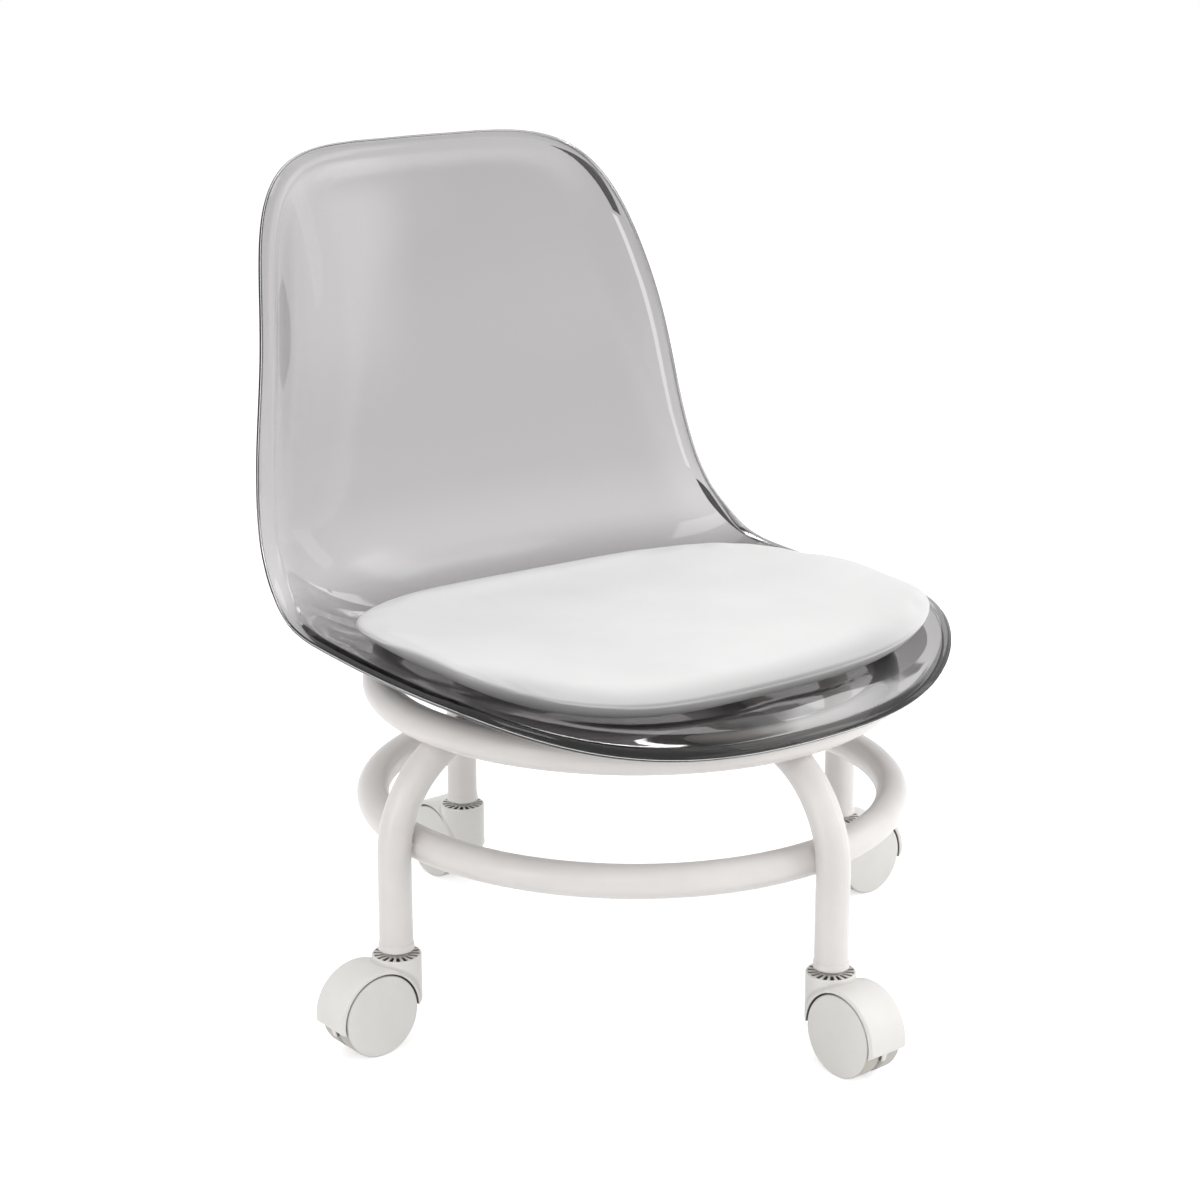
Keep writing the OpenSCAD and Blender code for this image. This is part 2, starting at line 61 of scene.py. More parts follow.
# ---------------------------------------------------------------- camera
def aim(thing, place, target):
    """Sets a camera or lamp at a place, upright and facing its target."""
    thing.location = place
    thing.rotation_euler = (Vector(target) - Vector(place)).to_track_quat("-Z", "Y").to_euler()


def look_from(place, target, lens):
    """The photograph's camera, upright and facing a point of the seat."""
    data = bpy.data.cameras.new("view")
    data.sensor_fit, data.sensor_width, data.lens = "HORIZONTAL", SENSOR, lens
    data.clip_start, data.clip_end = 0.05, 30.0
    camera = bpy.data.objects.new("view", data)
    bpy.context.scene.collection.objects.link(camera)
    aim(camera, place, target)
    bpy.context.scene.camera = camera


look_from(place=(-1.0009, -1.1997, 0.6859), target=(-0.0156, 0.0127, 0.2394), lens=79.66)


# ---------------------------------------------------------------- material maths
class Value:
    """One number, colour or shader on its way through a tree, so that shader sums read as sums."""

    def __init__(self, shading, socket):
        self.shading, self.socket = shading, socket

    def sum(self, operation, *others):
        return self.shading.node("ShaderNodeMath", dict(operation=operation), *others)

    def __add__(self, other):
        return self.sum("ADD", self, other)

    def __sub__(self, other):
        return self.sum("SUBTRACT", self, other)

    def __mul__(self, other):
        return self.sum("MULTIPLY", self, other)

    def __truediv__(self, other):
        return self.sum("DIVIDE", self, other)

    def __radd__(self, other):
        return self.sum("ADD", other, self)

    def __rsub__(self, other):
        return self.sum("SUBTRACT", other, self)

    def __rmul__(self, other):
        return self.sum("MULTIPLY", other, self)

    def __pow__(self, other):
        return self.sum("POWER", self, other)

    def least(self, other):
        return self.sum("MINIMUM", self, other)

    def most(self, other):
        return self.sum("MAXIMUM", self, other)

    def sine(self):
        return self.sum("SINE", self)

    def size(self):
        return self.sum("ABSOLUTE", self)

    def step(self, low, high, to_low=0.0, to_high=1.0):
        """A soft step from to_low at low to to_high at high."""
        return self.shading.node("ShaderNodeMapRange", dict(interpolation_type="SMOOTHSTEP", clamp=True),
                                 self, low, high, to_low, to_high)

    def step_mm(self, low, high):
        """A soft step from 0 to 1 over a stretch of the object, in millimetres."""
        return self.step(low * MM, high * MM)


class Shading:
    """A material's or world's node tree, built node by node."""

    def __init__(self, owner, out_kind):
        owner.use_nodes = True
        self.tree = owner.node_tree
        self.tree.nodes.clear()
        self.out = self.tree.nodes.new(out_kind)

    def node(self, kind, settings=None, *values, out=0, **named):
        """Adds a node. settings are set first, then values go to its sockets in order, and named
        ones by their name, or by their place where that is s and a number."""
        node = self.tree.nodes.new(kind)
        for key, value in (settings or {}).items():
            setattr(node, key, value)
        given = list(enumerate(values))
        for key, value in named.items():
            by_place = key[0] == "s" and key[1:].isdigit()
            given.append((int(key[1:]) if by_place else key.replace("_", " "), value))
        for key, value in given:
            if value is None:
                continue
            if isinstance(value, Value):
                self.tree.links.new(value.socket, node.inputs[key])
            else:
                node.inputs[key].default_value = value
        return Value(self, node.outputs[out])

    def ray(self, kind):
        """1 for rays of one kind and 0 for all others."""
        return self.node("ShaderNodeLightPath", out="Is %s Ray" % kind)

    def mix(self, share, first, second):
        """A shader between two, by share."""
        return self.node("ShaderNodeMixShader", None, share, first, second)

    def show(self, shader, end="Surface"):
        """Sends a shader to the tree's output."""
        self.tree.links.new(shader.socket, self.out.inputs[end])


class Finish(Shading):
    """A material that starts as one principled shader."""

    def __init__(self, name):
        self.material = bpy.data.materials.new(name)
        super().__init__(self.material, "ShaderNodeOutputMaterial")
        self.skin = self.tree.nodes.new("ShaderNodeBsdfPrincipled")
        self.coat = Value(self, self.skin.outputs[0])
        self.show(self.coat)

    def place(self, scale=(1, 1, 1)):
        """Object coordinates, scaled."""
        spot = self.node("ShaderNodeTexCoord", out=3)
        return self.node("ShaderNodeMapping", None, spot, None, None, scale)

    def grain(self, spot, scale, detail=2.0, rough=0.5):
        return self.node("ShaderNodeTexNoise", dict(noise_dimensions="3D"),
                         Vector=spot, Scale=scale, Detail=detail, Roughness=rough)

    def cells(self, spot, scale):
        return self.node("ShaderNodeTexVoronoi", dict(feature="F1"), Vector=spot, Scale=scale)

    def parts(self, spot, axis):
        return self.node("ShaderNodeSeparateXYZ", None, spot, out=axis)

    def tint(self, share, first, second):
        """A colour between two, by share."""
        full = lambda c: c if isinstance(c, Value) else (*c, 1.0)
        return self.node("ShaderNodeMix", dict(data_type="RGBA"), share, out=2, s6=full(first), s7=full(second))

    def bump(self, height, strength, distance, under=None):
        return self.node("ShaderNodeBump", None, Strength=strength, Distance=distance, Height=height, Normal=under)

    def set(self, **values):
        """Sets the shader's own sockets, by number or by link."""
        for key, value in values.items():
            socket = self.skin.inputs[key.replace("_", " ")]
            if isinstance(value, Value):
                self.tree.links.new(value.socket, socket)
            else:
                socket.default_value = (*value, 1.0) if isinstance(value, tuple) and len(value) == 3 else value


def smoked_clear():
    """Clear smoked polycarbonate: a grey tint, deeper along the wall and in the seat's thick lip, painted shade on the
    seat's lip and on the back's sides and lowest part, and faint flow lines of the moulding."""
    f = Finish("smoked_clear")
    spot = f.place()
    flow = f.grain(f.place(scale=(1.0, 0.6, 0.45)), 9.0, 3.0)
    fine = f.grain(spot, 260.0, 2.0)
    smoke = f.tint(flow, (0.585, 0.575, 0.580), (0.615, 0.605, 0.610))
    high = f.parts(spot, 2)
    # painted shade on the back's sides, where the rolled edge stands behind the sheet, and on its lowest part; the
    # sides draw in by a share of the height over or under a level
    draw_in, level = 0.18, 0.447
    side_shade = (f.parts(spot, 0).size() + (high - level) * draw_in).step(0.106, 0.130) * high.step(0.25, 0.31)
    low_back_shade = high.step(0.250, 0.290, 0.0, 0.8) * high.step(0.31, 0.41, 1.0, 0.0)
    smoke = f.tint(side_shade.most(low_back_shade), smoke, (0.525, 0.515, 0.520))
    # painted shade over the seat's lip and the low part of the shell, fading out with height
    seat_shade = high.step(0.216, 0.250, 0.9, 0.0)
    f.set(Base_Color=f.tint(seat_shade, smoke, (0.27, 0.262, 0.265)), Metallic=0.0, IOR=1.49, Transmission_Weight=1.0,
          Roughness=flow.step(0.35, 0.7, 0.02, 0.04) + fine * 0.006,
          Normal=f.bump(flow, 0.12, 0.004, f.bump(fine, 0.006, 0.0002)))
    f.show(f.node("ShaderNodeVolumeAbsorption", None, (0.12, 0.105, 0.115, 1.0), 90.0), "Volume")
    # the clear wall casts only a thin shadow
    f.show(f.mix(f.ray("Shadow"), f.coat, f.node("ShaderNodeBsdfTransparent", None, (0.86, 0.855, 0.86, 1.0))))
    return f.material


def frame_enamel():
    """Warm white powder coat: a fine orange peel, a little cloudiness, and duller where hands and
    shoes rub."""
    f = Finish("frame_enamel")
    spot = f.place()
    peel, cloud = f.grain(spot, 900.0, 2.0), f.grain(spot, 24.0, 3.0)
    rub = f.grain(f.place(scale=(1, 1, 0.4)), 70.0, 4.0, 0.6)
    f.set(Base_Color=f.tint(cloud.step(0.3, 0.7), (0.775, 0.745, 0.725), (0.815, 0.79, 0.77)), Metallic=0.0, IOR=1.5,
          Roughness=0.30 + cloud * 0.08 + rub.step(0.55, 0.75, 0.0, 0.07),
          Coat_Weight=0.12, Coat_Roughness=0.22,
          Normal=f.bump(peel, 0.10, 0.0004))
    return f.material


def caster_nylon(name, pale, deep, sheen, wells=False, tread=False):
    """Moulded nylon: a spark-eroded skin and slow colour drift. Painted shade darkens a hood's wells, rib pockets and
    the crease round its neck, and a wheel's tread."""
    f = Finish(name)
    spot = f.place()
    eroded, drift = f.grain(spot, 1500.0, 2.0), f.grain(spot, 45.0, 3.0)
    colour = f.tint(drift.step(0.32, 0.68), deep, pale)
    x, y, z = f.parts(spot, 0).size(), f.parts(spot, 1).size(), f.parts(spot, 2)
    along, across = x.most(y), x.least(y)
    past_stem, past_axle, over_axle = along - LEG_REACH * MM, along - (LEG_REACH + TRAIL) * MM, z - AXLE_Z * MM
    from_stem = (past_stem * past_stem + across * across) ** 0.5
    from_axle = (past_axle * past_axle + over_axle * over_axle) ** 0.5
    if tread:
        # painted shade on the tread, a darker grey made uneven by the colour drift
        tread_shade = from_axle.step_mm(24.0, 24.7) * across.step_mm(13.7, 12.7) * (0.62 + drift * 0.3)
        colour = f.tint(tread_shade, colour, (0.42, 0.395, 0.355))
    if wells:
        # painted shade: near black in the rib pockets and the wheel wells, grey in the crease where the neck meets the
        # drum
        pocket = (from_stem.step_mm(13.7, 13.4) * from_stem.step_mm(6.8, 7.1)
                  * z.step_mm(55.55, 54.6) * z.step_mm(52.0, 52.2))
        well = from_axle.step_mm(26.2, 25.9) * across.step_mm(13.6, 13.1)
        crease_shade = (from_stem.step_mm(16.8, 15.0) * from_stem.step_mm(13.2, 14.6)
                  * from_axle.step_mm(26.2, 27.5) * from_axle.step_mm(30.5, 28.5))
        colour = f.tint(crease_shade * 0.35, f.tint(well * 0.9, colour, (0.10, 0.092, 0.085)), (0.40, 0.38, 0.35))
        colour = f.tint(pocket * 0.95, colour, (0.085, 0.066, 0.052))
    f.set(Base_Color=colour, Metallic=0.0, IOR=1.53,
          Roughness=sheen + drift * 0.10,
          Normal=f.bump(eroded, 0.14, 0.0003))
    return f.material


def bright_zinc(name, pale, dull):
    """Zinc-plated steel with fine drawn lines and a faint yellow-blue cast."""
    f = Finish(name)
    lines = f.grain(f.place(scale=(1, 1, 14)), 420.0, 3.0)
    cast = f.grain(f.place(), 90.0, 2.0)
    f.set(Base_Color=f.tint(cast.step(0.35, 0.65), pale, dull), Metallic=1.0, Roughness=0.24 + lines * 0.16,
          Normal=f.bump(lines, 0.12, 0.0002))
    return f.material


def soft_rubber():
    """Black rubber washers, a little dusty."""
    f = Finish("soft_rubber")
    dust = f.grain(f.place(), 600.0, 4.0)
    f.set(Base_Color=f.tint(dust.step(0.45, 0.75), (0.022, 0.022, 0.023), (0.06, 0.06, 0.058)),
          Metallic=0.0, Roughness=0.62 + dust * 0.2, Normal=f.bump(dust, 0.3, 0.0003))
    return f.material


def birch_board():
    """Birch plywood: grain along one way on the faces and the plies' lines on the edge."""
    ply_pair = 0.0025
    f = Finish("birch_board")
    spot = f.place()
    grain = f.grain(f.place(scale=(3.0, 60.0, 3.0)), 9.0, 5.0)
    plies = (f.parts(spot, 2) * (2 * math.pi / ply_pair)).sine().step(-0.4, 0.4)
    f.set(Base_Color=f.tint(plies * 0.4 + grain * 0.6, (0.50, 0.34, 0.19), (0.72, 0.55, 0.36)), Metallic=0.0,
          Roughness=0.55 + grain * 0.2, Normal=f.bump(grain, 0.25, 0.0003))
    return f.material


def pad_hide():
    """The pad's matt white coated cover: fine pebbled grain on a soft knit, with very slight cloudiness, and painted
    shade where its front edge turns under, but for the left corner."""
    f = Finish("pad_hide")
    spot = f.place()
    pebble, fine, cloud = f.cells(spot, 950.0), f.grain(spot, 2200.0, 2.0), f.grain(spot, 16.0, 3.0)
    middle = (skin(0, PAD_START + PAD_LEN / 2) + Vector(PAD_LIES)) * MM
    across, along = f.parts(spot, 0) - middle.x, f.parts(spot, 1) - middle.y
    side = across * math.cos(PAD_TURN) + along * math.sin(PAD_TURN)
    fore = along * math.cos(PAD_TURN) - across * math.sin(PAD_TURN)
    # out_share is 1 on the cover's outline, whose front corners take up front_round from front_line on
    front_line, front_round, square = 0.042, 0.090, PAD_SQUARE["right"]
    past_line = ((-front_line - fore) / front_round).most(0.0)
    out_share = ((side.size() / (PAD_HALF_W * MM)) ** square + past_line ** square) ** (1 / square)
    # painted shade where the front edge turns under, but for the left corner
    turn_under_shade = out_share.step(0.72, 1.0) * fore.step(-0.100, -0.045, 1.0, 0.0) * side.step(0.08, 0.15, 1.0, 0.0)
    hide = f.tint(cloud.step(0.3, 0.7), (0.735, 0.735, 0.735), (0.768, 0.768, 0.768))
    f.set(Base_Color=f.tint(turn_under_shade, hide, (0.50, 0.50, 0.50)), Metallic=0.0, IOR=1.45,
          Roughness=0.58 + pebble * 0.10, Sheen_Weight=0.12, Sheen_Roughness=0.5,
          Normal=f.bump(pebble, 0.16, 0.0003, f.bump(fine, 0.05, 0.0002)))
    return f.material


SMOKED = smoked_clear()
ENAMEL = frame_enamel()
HOOD_NYLON = caster_nylon("hood_nylon", (0.83, 0.815, 0.79), (0.80, 0.785, 0.755), 0.36, wells=True)
WHEEL_NYLON = caster_nylon("wheel_nylon", (0.79, 0.775, 0.745), (0.76, 0.745, 0.715), 0.40, tread=True)
ZINC = bright_zinc("bright_zinc", (0.70, 0.69, 0.67), (0.60, 0.60, 0.62))
RUBBER = soft_rubber()
BOARD = birch_board()


# ---------------------------------------------------------------- the shell's own form
# shares of its length from the front crest, with its width and its wings' lift there, and the middle
# line's bends as lengths and turns in degrees
PLACES = (0, 0.2, 0.41, 0.51, 0.62, 0.81, 1)
WIDTHS = (1, 1, 0.989, 0.969, 0.931, 0.83, 0.706)
LIFTS = (0.67, 0.64, 0.72, 0.80, 0.71, 0.97, 0.56)
BENDS = ((235, 6), (26, 8), (70, 51), (26, 8), (228, 17.5))


def soft_step(t):
    t = min(max(t, 0.0), 1.0)
    return t * t * (3 - 2 * t)


def smooth_table(places, values, x):
    """A smooth curve through a table of values."""
    x = min(max(x, places[0]), places[-1])
    last = len(places) - 1
    i = max(k for k in range(last) if places[k] <= x)

    def slope(k):
        a, b = max(k - 1, 0), min(k + 1, last)
        return (values[b] - values[a]) / (places[b] - places[a])

    h = places[i + 1] - places[i]
    t = (x - places[i]) / h
    return ((2 * t**3 - 3 * t**2 + 1) * values[i] + (t**3 - 2 * t**2 + t) * h * slope(i)
            + (-2 * t**3 + 3 * t**2) * values[i + 1] + (t**3 - t**2) * h * slope(i + 1))


def centre_line(along):
    """(y, z, slope) of the shell's middle line, at a distance from the front crest."""
    y, z, a, start = CREST_Y, CREST_Z, math.radians(FRONT_FALL), 0.0
    for length, turn in BENDS:
        k = math.radians(turn) / length
        run = along - start if (along < start + length or (length, turn) == BENDS[-1]) else length
        y += (math.sin(a + k * run) - math.sin(a)) / k
        z += (math.cos(a) - math.cos(a + k * run)) / k
        a += k * run
        start += length
        if run != length:
            break
    return y, z, a


def skin(x, along, over=0.0):
    """A point of the shell's upper skin."""
    ease_start, ease_run = 0.5, 0.2
    y, z, a = centre_line(along)
    q = along / SHELL_LEN
    power = WING_POWER - WING_EASE * soft_step((q - ease_start) / ease_run)
    half_w = HALF_W * smooth_table(PLACES, WIDTHS, q)
    up = WING_LIFT * smooth_table(PLACES, LIFTS, q) * (abs(x) / half_w) ** power + over
    return Vector((x, y - up * math.sin(a), z + up * math.cos(a)))


def skin_normal(x, along):
    return (skin(x + 0.5, along) - skin(x - 0.5, along)).cross(skin(x, along + 0.5) - skin(x, along - 0.5)).normalized()


def round_off(t, power):
    return max(1 - max(t, 0.0) ** power, 0.0) ** (1 / power)


def outline_x(along):
    """Half the shell's width at its crest, rounded off over its first and last stretch."""
    front, front_square, top, top_square = 110, 2.06, 132, 5.6
    return (HALF_W * smooth_table(PLACES, WIDTHS, along / SHELL_LEN) * round_off(1 - along / front, front_square)
            * round_off(1 - (SHELL_LEN - along) / top, top_square))


def mesh_piece(name, points, faces, material, millimetres=True):
    """A mesh object at the origin, with outward faces and smooth shading."""
    mesh = bpy.data.meshes.new(name)
    mesh.from_pydata([Vector(p) * (MM if millimetres else 1.0) for p in points], [], faces)
    piece = bpy.data.objects.new(name, mesh)
    bpy.context.scene.collection.objects.link(piece)
    form = bmesh.new()
    form.from_mesh(mesh)
    bmesh.ops.remove_doubles(form, verts=form.verts, dist=0.00001)
    bmesh.ops.recalc_face_normals(form, faces=form.faces)
    for face in form.faces:
        face.smooth = True
    form.to_mesh(mesh)
    form.free()
    mesh.materials.append(material)
    return piece


def bevel_fall(inside):
    """How far the seat's flat lip has fallen, and its lean, at a distance past where it starts."""
    if inside <= 0:
        return 0.0, 0.0
    soft = 5.0
    t = min(inside / soft, 1.0)
    return math.tan(LIP_LEAN) * (soft * t * t / 2 if t < 1 else inside - soft / 2), math.atan(math.tan(LIP_LEAN) * t)


def lip_point(share, start_fall):
    """A point of the seat's lip past the crest, as its reach out, its fall and its lean: the flat
    slope goes on, then turns down tightly to the rolled edge."""
    flat, flat_share, tight, turn = 4.0, 0.3, 8.2, math.radians(73)
    if share < flat_share:
        run = flat * share / flat_share
        return run, start_fall + run * math.tan(LIP_LEAN), LIP_LEAN
    a = LIP_LEAN + turn * (share - flat_share) / (1 - flat_share)
    end = start_fall + flat * math.tan(LIP_LEAN)
    return (flat + tight * (math.sin(a) - math.sin(LIP_LEAN)), end + tight * (math.cos(LIP_LEAN) - math.cos(a)), a)


def only(piece):
    """Selects one piece alone and makes it the active one."""
    bpy.ops.object.select_all(action="DESELECT")
    piece.select_set(True)
    bpy.context.view_layer.objects.active = piece


def apply_modifiers(piece):
    only(piece)
    for modifier in list(piece.modifiers):
        bpy.ops.object.modifier_apply(modifier=modifier.name)


def make_shell():
    """One moulded sheet with a rolled rim: rings of points from the spine out to the crest and over
    the roll, then the same below."""
    spokes, rings, roll_rings, lip_steps = 224, 26, 12, 6
    # in shares of the sheet's length: its spine, the rim's change from the seat's lip to the back's
    # roll, and the change of how far it rolls; then the outer rings, which are thicker and lie closer
    spine_start, spine_run, lip_end, lip_fade, roll_end, roll_fade = 0.12, 0.76, 0.36, 0.20, 0.41, 0.21
    thick_from, thick_fade, crowding = 0.80, 0.20, 0.25
    roll_turn, roll_less = 72, 7  # degrees of the roll on the seat, and how many fewer on the back
    lip_reach, more_in_front = 9, 25  # the flat lip's reach in from the crest
    half = spokes // 2
    share = [(1 - math.cos(2 * math.pi * min(j, spokes - j) / spokes)) / 2 for j in range(spokes)]
    rim = [SHELL_LEN * u for u in share]
    across = [outline_x(s) * (1 if j <= half else -1) for j, s in enumerate(rim)]
    spine = [SHELL_LEN * (spine_start + spine_run * u) for u in share]
    upper, normals = [], []
    for k in range(rings + 1):
        f = k / rings
        f = f * (1 + crowding - crowding * f)
        places = [(f * across[j], spine[j] + f * (rim[j] - spine[j])) for j in range(spokes)]
        upper.append([skin(*place) for place in places])
        normals.append([skin_normal(*place) for place in places])
    edge, edge_normals = [p.copy() for p in upper[-1]], [n.copy() for n in normals[-1]]
    outward = []
    for j in range(spokes):
        along = edge[(j + 1) % spokes] - edge[j - 1]
        o = along.cross(edge_normals[j]).normalized()
        outward.append(o if o.dot(edge[j] - upper[-2][j]) > 0 else -o)
    seat_part = [1 - soft_step((s / SHELL_LEN - lip_end) / lip_fade) for s in rim]
    reach = [lip_reach + more_in_front * max(-o.y, 0) ** 2 for o in outward]
    for k in range(rings + 1):
        for j in range(spokes):
            fall, lean = bevel_fall(reach[j] - (upper[k][j] - edge[j]).length if k < rings else reach[j])
            o, n = outward[j], normals[k][j]
            upper[k][j] = upper[k][j] - edge_normals[j] * (fall * seat_part[j])
            normals[k][j] = (n + o * (math.tan(lean) * seat_part[j])).normalized()
    for k in range(1, roll_rings + 1):
        row, row_normals = [], []
        for j in range(spokes):
            less = roll_less * soft_step((rim[j] / SHELL_LEN - roll_end) / roll_fade)
            a = math.radians(roll_turn - less) * k / roll_rings
            n = edge_normals[j] * math.cos(a) + outward[j] * math.sin(a)
            rolled = edge[j] + (n - edge_normals[j]) * ROLL_R
            across_lip, down_lip, lean = lip_point(k / roll_rings, bevel_fall(reach[j])[0])
            bevelled = edge[j] + outward[j] * across_lip - edge_normals[j] * down_lip
            m = edge_normals[j] * math.cos(lean) + outward[j] * math.sin(lean)
            row.append(rolled.lerp(bevelled, seat_part[j]))
            row_normals.append(n.lerp(m, seat_part[j]).normalized())
        upper.append(row)
        normals.append(row_normals)
    lower = []
    for k, (row, row_normals) in enumerate(zip(upper, normals)):
        out = soft_step((k / rings - thick_from) / thick_fade)
        lower.append([p - n * (WALL + out * (RIM_EXTRA * seat_part[j] - RIM_SPARE * (1 - seat_part[j])))
                      for j, (p, n) in enumerate(zip(row, row_normals))])
    lips = []
    for i in range(1, lip_steps):
        a = math.pi * i / lip_steps
        row = []
        for j in range(spokes):
            top, low = upper[-1][j], lower[-1][j]
            down = (upper[-1][j] - upper[-2][j]).normalized()
            row.append((top + low) / 2 + (top - low) / 2 * math.cos(a) + down * (LIP_ROUND * (math.sin(a) - 1)))
        lips.append(row)
    # the lip's rounding takes its depth from the roll's own end, so that nothing stands past the solid's edge
    for j in range(spokes):
        back = (upper[-1][j] - upper[-2][j]).normalized() * (-LIP_ROUND)
        upper[-1][j] = upper[-1][j] + back
        lower[-1][j] = lower[-1][j] + back
    rows = upper + lips + lower[::-1]
    points, faces = [p for row in rows for p in row], []
    at = lambda r, j: r * spokes + j % spokes
    for r in range(len(rows) - 1):
        for j in range(spokes):
            faces.append((at(r, j), at(r + 1, j), at(r + 1, j + 1), at(r, j + 1)))
    return mesh_piece("seat_shell_clear", points, faces, SMOKED)


shell = make_shell()
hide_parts("seat_shell")
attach(shell, "frame")


# ---------------------------------------------------------------- the pad
# its section from the middle below to the middle on top, as shares of its half width and its height
PAD_RINGS = ((0, 0), (0.45, 0), (0.76, 0), (0.88, 0.05), (0.945, 0.17), (0.985, 0.34), (1, 0.50), (0.998, 0.63),
             (0.986, 0.76), (0.960, 0.865), (0.920, 0.935), (0.862, 0.978), (0.78, 1), (0.65, 1), (0.48, 1),
             (0.25, 1), (0, 1))


def ring_between(place):
    """How far out and how high the pad's skin is, at a place along its rings."""
    last = len(PAD_RINGS) - 1
    i = min(int(place), last - 1)
    t = place - i
    result = []
    for side in (0, 1):
        at = lambda k: PAD_RINGS[min(max(k, 0), last)][side]
        m0 = (at(i + 1) - at(i - 1)) / 2 if i > 0 else at(1) - at(0)
        m1 = (at(i + 2) - at(i)) / 2 if i + 1 < last else at(last) - at(last - 1)
        result.append((2 * t**3 - 3 * t**2 + 1) * at(i) + (t**3 - 2 * t**2 + t) * m0
                      + (-2 * t**3 + 3 * t**2) * at(i + 1) + (t**3 - t**2) * m1)
    return min(max(result[0], 0.0), 1.0), min(max(result[1], 0.0), 1.0)


def make_pad():
    """The seat pad's crowned form, with its edge drawn in above and below, a little slack before it
    is blown up."""
    spokes, fine = 176, 4
    half, centre = spokes // 2, PAD_START + PAD_LEN / 2
    spine_start, spine_run, raise_end = 0.3, 0.4, 0.45
    front_round, back_round = 0.34, 0.74  # the shares of the length that the corners take up
    fullest, full_run = 0.42, 0.17  # where along it the edge is fullest, and over how far
    slack, lift, lowered = 0.996, 0.5, 0.9  # room for the blown-up cover, outward, below and on top
    points, faces = [], []
    rings = (len(PAD_RINGS) - 1) * fine
    for r in range(rings + 1):
        out_share, high = ring_between(r / fine)
        for j in range(spokes):
            u = (1 - math.cos(2 * math.pi * min(j, spokes - j) / spokes)) / 2
            rim = PAD_START + PAD_LEN * u
            middle = PAD_START + PAD_LEN * (spine_start + spine_run * u)
            left = j <= half
            x = (PAD_HALF_W * round_off(1 - u / front_round, PAD_SQUARE["left" if left else "right"])
                 * round_off(1 - (1 - u) / back_round, PAD_SQUARE["back"]) * (1 if left else -1))
            f = out_share * slack
            near_edge = soft_step((out_share - 0.5) / 0.5) * soft_step(high / 0.5)
            front = PAD_FRONT_RAISE * (1 - soft_step(u / raise_end)) * near_edge * (1 - soft_step((high - 0.55) / 0.45))
            fuller = PAD_FULLER * math.exp(-((u - fullest) / full_run) ** 2) * near_edge
            over = lift + high * (PAD_EDGE + PAD_CROWN * (1 - f * f) - lowered) + front + fuller
            side, fore = f * x, middle + f * (rim - middle) - centre
            points.append(skin(side * math.cos(PAD_TURN) - fore * math.sin(PAD_TURN),
                               centre + side * math.sin(PAD_TURN) + fore * math.cos(PAD_TURN), over) + Vector(PAD_LIES))
    for r in range(rings):
        for j in range(spokes):
            k = (j + 1) % spokes
            faces.append((r * spokes + j, r * spokes + k, (r + 1) * spokes + k, (r + 1) * spokes + j))
    return mesh_piece("seat_pad", points, faces, HIDE)


HIDE = pad_hide()
pad = make_pad()


def blow_up(piece, pressure, cap, frames=20):
    """The cover over its foam: pressed out from inside as cloth, held where it rests, and moved no
    more than cap, in metres."""
    rest = [v.co.copy() for v in piece.data.vertices]
    held = piece.vertex_groups.new(name="rests_on_shell")
    for v in piece.data.vertices:
        if v.normal.z < -0.3:
            held.add([v.index], 1.0, "REPLACE")
    cover = piece.modifiers.new("cover", "CLOTH")
    cover.settings.use_pressure, cover.settings.uniform_pressure_force = True, pressure
    cover.settings.effector_weights.gravity = 0.0
    cover.settings.vertex_group_mass = held.name
    cover.point_cache.frame_start, cover.point_cache.frame_end = 1, frames
    for number in range(1, frames + 1):
        bpy.context.scene.frame_set(number)
    seen = piece.evaluated_get(bpy.context.evaluated_depsgraph_get())
    moved = [v.co.copy() for v in seen.data.vertices]
    piece.modifiers.remove(cover)
    piece.vertex_groups.clear()
    for v, before, after in zip(piece.data.vertices, rest, moved):
        step = after - before
        v.co = before + step * (min(step.length, cap) / step.length if step.length > 1e-9 else 0.0)
    bpy.context.scene.frame_set(1)


def finish_pad(piece):
    """Blows the cover up and evens its mesh."""
    blow_up(piece, pressure=4.0, cap=0.0012)
    relax = piece.modifiers.new("relax", "SMOOTH")
    relax.factor, relax.iterations = 0.5, 4
    fine = piece.modifiers.new("fine", "SUBSURF")
    fine.levels = fine.render_levels = 1
    apply_modifiers(piece)
    for face in piece.data.polygons:
        face.use_smooth = True


finish_pad(pad)
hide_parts("seat_cushion")
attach(pad, "frame")


# ---------------------------------------------------------------- casters, modelled once and copied to the legs
def select_edges(piece, wanted):
    """Goes into edit mode with only the wanted edges selected."""
    only(piece)
    bpy.ops.object.mode_set(mode="EDIT")
    bpy.ops.mesh.select_mode(type="EDGE")
    bpy.ops.mesh.select_all(action="DESELECT")
    form = bmesh.from_edit_mesh(piece.data)
    for e in form.edges:
        e.select_set(bool(wanted(e, e.verts[0].co, e.verts[1].co)))
    bmesh.update_edit_mesh(piece.data)


def round_bar(name, radius, length, middle, across=False, sides=96, edge=0.0):
    """A round bar, upright or across along Y, with its end edges eased."""
    bpy.ops.object.select_all(action="DESELECT")
    turn = (math.pi / 2, 0, 0) if across else (0, 0, 0)
    bpy.ops.mesh.primitive_cylinder_add(vertices=sides, radius=radius * MM, depth=length * MM,
                                        location=[c * MM for c in middle], rotation=turn)
    bar = bpy.context.object
    bar.name = name
    bpy.ops.object.transform_apply(location=True, rotation=True, scale=True)
    if edge:
        select_edges(bar, lambda e, a, b: len(e.link_faces) == 2 and max(len(f.verts) for f in e.link_faces) > 4)
        bpy.ops.mesh.bevel(offset=edge * MM, segments=4, affect="EDGES")
        bpy.ops.object.mode_set(mode="OBJECT")
    return bar


def slice_off(piece, point, away):
    """Cuts piece by a plane, drops the side that away points to, and closes the cut."""
    only(piece)
    bpy.ops.object.mode_set(mode="EDIT")
    bpy.ops.mesh.select_all(action="SELECT")
    bpy.ops.mesh.bisect(plane_co=[c * MM for c in point], plane_no=away, use_fill=True, clear_outer=True)
    bpy.ops.object.mode_set(mode="OBJECT")


